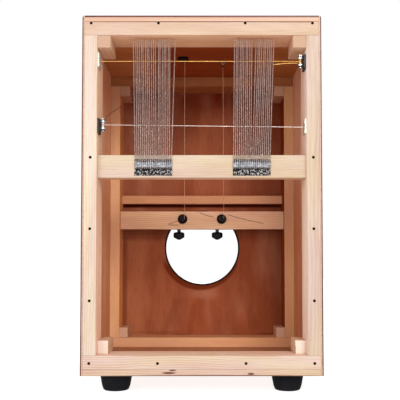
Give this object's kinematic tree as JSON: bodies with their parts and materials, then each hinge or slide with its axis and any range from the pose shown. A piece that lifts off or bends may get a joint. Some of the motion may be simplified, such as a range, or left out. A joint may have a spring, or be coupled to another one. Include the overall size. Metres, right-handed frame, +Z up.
{
  "type": "box drum",
  "caption": "Wooden box drum with its front plate off, showing battens, snare wires, tensioned strings, geared tuners, a rear sound hole and rubber feet.",
  "frame": {"origin": "on the ground under the middle of the box, at the bottom centre of its bounding box", "axes": "+Z up, -Y towards the open front, +X to the right seen from the front"},
  "size_m": [0.3, 0.3, 0.473],
  "materials": {
    "stained_panel": "stained plywood, satin",
    "plain_panel": "bare plywood",
    "batten_wood": "planed bare pine",
    "snare_wire": "coiled steel wire",
    "solder_plate": "tinned steel",
    "dark_tape": "creased dark tape",
    "screws": "zinc plated",
    "brass_winding": "wound string",
    "plain_steel": "plain string",
    "chrome": "chrome plated",
    "black_metal": "black plated",
    "worm_steel": "dark steel",
    "worm_brass": "turned brass",
    "black_plastic": "moulded black",
    "foot_rubber": "moulded black rubber"
  },
  "bodies": {
    "box": {"side_panel_left": "stained_panel", "side_panel_right": "stained_panel", "top_panel": "stained_panel", "bottom_panel": "plain_panel", "back_panel": "stained_panel", "front_rail_top": "batten_wood", "front_rail_bottom": "batten_wood", "front_stile_left": "batten_wood", "front_stile_right": "batten_wood", "rear_rail_top": "batten_wood", "rear_rail_bottom": "batten_wood", "rear_stile_left": "batten_wood", "rear_stile_right": "batten_wood", "front_corner_blocks": "batten_wood", "rear_corner_blocks": "batten_wood", "back_stiffener": "batten_wood", "snare_bar": "batten_wood", "tuner_bar": "batten_wood", "snare_wires_left": "snare_wire", "snare_wires_right": "snare_wire", "snare_plates": "solder_plate", "snare_tapes": "dark_tape", "wound_string": "brass_winding", "plain_string": "plain_steel", "string_anchors": "chrome", "string_anchor_screws": "screws", "spool_bracket_upper": "black_metal", "spool_bracket_lower": "black_metal", "spool_bracket_screws": "black_metal", "foot_front_left": "foot_rubber", "foot_front_right": "foot_rubber", "foot_rear_left": "foot_rubber", "foot_rear_right": "foot_rubber", "foot_screws": "screws", "tuner_housing_left": "black_metal", "tuner_housing_right": "black_metal", "tuner_covers": "black_metal", "tuner_bushings": "black_metal", "tuner_mount_screws": "screws", "inner_string_left": "plain_steel", "inner_string_right": "plain_steel", "ceiling_plate": "black_metal", "ceiling_eye": "screws"},
    "tuner_left_post": {"tuner_post_left": "black_metal", "worm_wheel_left": "worm_brass", "inner_string_turns_left": "plain_steel"},
    "tuner_left_button": {"worm_shaft_left": "worm_steel", "tuner_button_left": "black_plastic"},
    "tuner_right_post": {"tuner_post_right": "black_metal", "worm_wheel_right": "worm_brass", "inner_string_turns_right": "plain_steel"},
    "tuner_right_button": {"worm_shaft_right": "worm_steel", "tuner_button_right": "black_plastic"},
    "spool_upper": {"spool_upper": "chrome", "wound_string_turns": "brass_winding"},
    "spool_lower": {"spool_lower": "chrome", "plain_string_turns": "plain_steel"}
  },
  "joints": [
    {"name": "tuner_left_button", "type": "hinge", "parent": "box", "child": "tuner_left_button", "pos_m": [-0.0381, 0.132, 0.2086], "axis": [0, 0, 1], "continuous": true},
    {"name": "tuner_left_post", "type": "hinge", "parent": "box", "child": "tuner_left_post", "pos_m": [-0.0315, 0.118, 0.2356], "axis": [0, 1, 0], "continuous": true},
    {"name": "tuner_right_button", "type": "hinge", "parent": "box", "child": "tuner_right_button", "pos_m": [0.0249, 0.132, 0.2086], "axis": [0, 0, 1], "continuous": true},
    {"name": "tuner_right_post", "type": "hinge", "parent": "box", "child": "tuner_right_post", "pos_m": [0.0315, 0.118, 0.2356], "axis": [0, 1, 0], "continuous": true},
    {"name": "spool_upper", "type": "hinge", "parent": "box", "child": "spool_upper", "pos_m": [0.1253, -0.137, 0.4178], "axis": [0, 0, 1], "continuous": true},
    {"name": "spool_lower", "type": "hinge", "parent": "box", "child": "spool_lower", "pos_m": [-0.1253, -0.137, 0.3367], "axis": [0, 0, 1], "continuous": true}
  ],
  "couplings": [
    {"joint": "tuner_left_post", "follows": "tuner_left_button", "ratio": 0.071429},
    {"joint": "tuner_right_post", "follows": "tuner_right_button", "ratio": 0.071429}
  ]
}
